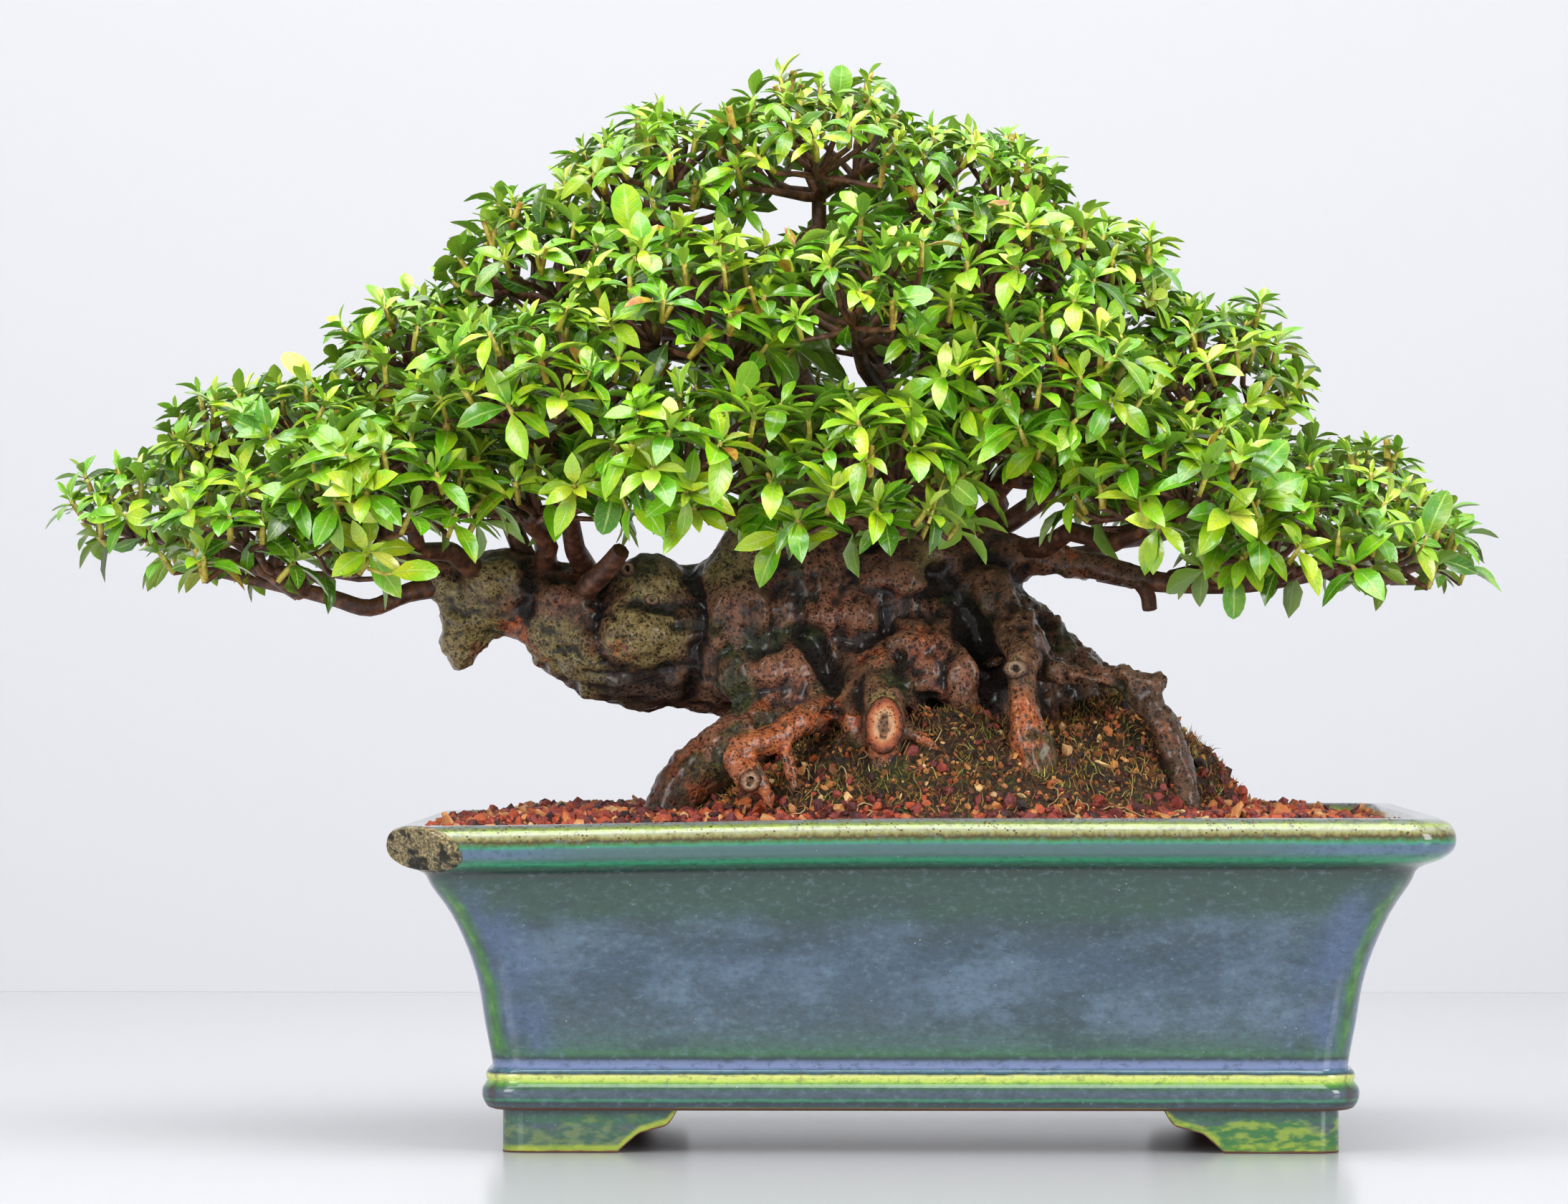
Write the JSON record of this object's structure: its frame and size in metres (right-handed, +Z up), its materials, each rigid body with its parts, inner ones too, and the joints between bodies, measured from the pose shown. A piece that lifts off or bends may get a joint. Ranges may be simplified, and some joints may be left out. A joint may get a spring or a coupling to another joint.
{
  "type": "satsuki azalea bonsai in a pot",
  "caption": "Potted satsuki azalea bonsai: gnarled trunk with surface roots, wide canopy of small pointed leaves, low rectangular glazed pot on cloud feet.",
  "frame": {"origin": "on the surface that the pot stands on, under the middle of the outline of tree and pot", "axes": "+X along the pot's long side, to the right as seen from the tree's front; -Y towards the front; +Z up"},
  "size_m": [0.5436, 0.2882, 0.3923],
  "materials": {
    "glaze": "polished",
    "net": "matte",
    "soil": "matte",
    "bark": "matte",
    "leaf": "satin"
  },
  "bodies": {
    "root": {"pot": "glaze", "foot_front_left": "glaze", "foot_front_right": "glaze", "foot_back_left": "glaze", "foot_back_right": "glaze", "drain_net_left": "net", "drain_net_right": "net", "soil": "soil", "wood": "bark", "foliage_left_tip": "leaf", "foliage_left_low": "leaf", "foliage_left_mid": "leaf", "foliage_left_shoulder": "leaf", "foliage_apex_left": "leaf", "foliage_apex": "leaf", "foliage_apex_right": "leaf", "foliage_right_shoulder": "leaf", "foliage_right_mid": "leaf", "foliage_right_low": "leaf", "foliage_right_tip": "leaf", "foliage_front_left_low": "leaf", "foliage_front_left": "leaf", "foliage_front_left_mid": "leaf", "foliage_front_left_under": "leaf", "foliage_front_low": "leaf", "foliage_front_low_right": "leaf", "foliage_front_upper_left": "leaf", "foliage_front_upper": "leaf", "foliage_front_shoulder": "leaf", "foliage_front_right": "leaf", "foliage_front_right_under": "leaf", "foliage_front_right_low": "leaf", "foliage_front_right_tip": "leaf", "foliage_back_left_low": "leaf", "foliage_back_left": "leaf", "foliage_back_upper_left": "leaf", "foliage_back_low": "leaf", "foliage_back_upper": "leaf", "foliage_back_right": "leaf", "foliage_back_right_low": "leaf"}
  },
  "joints": []
}
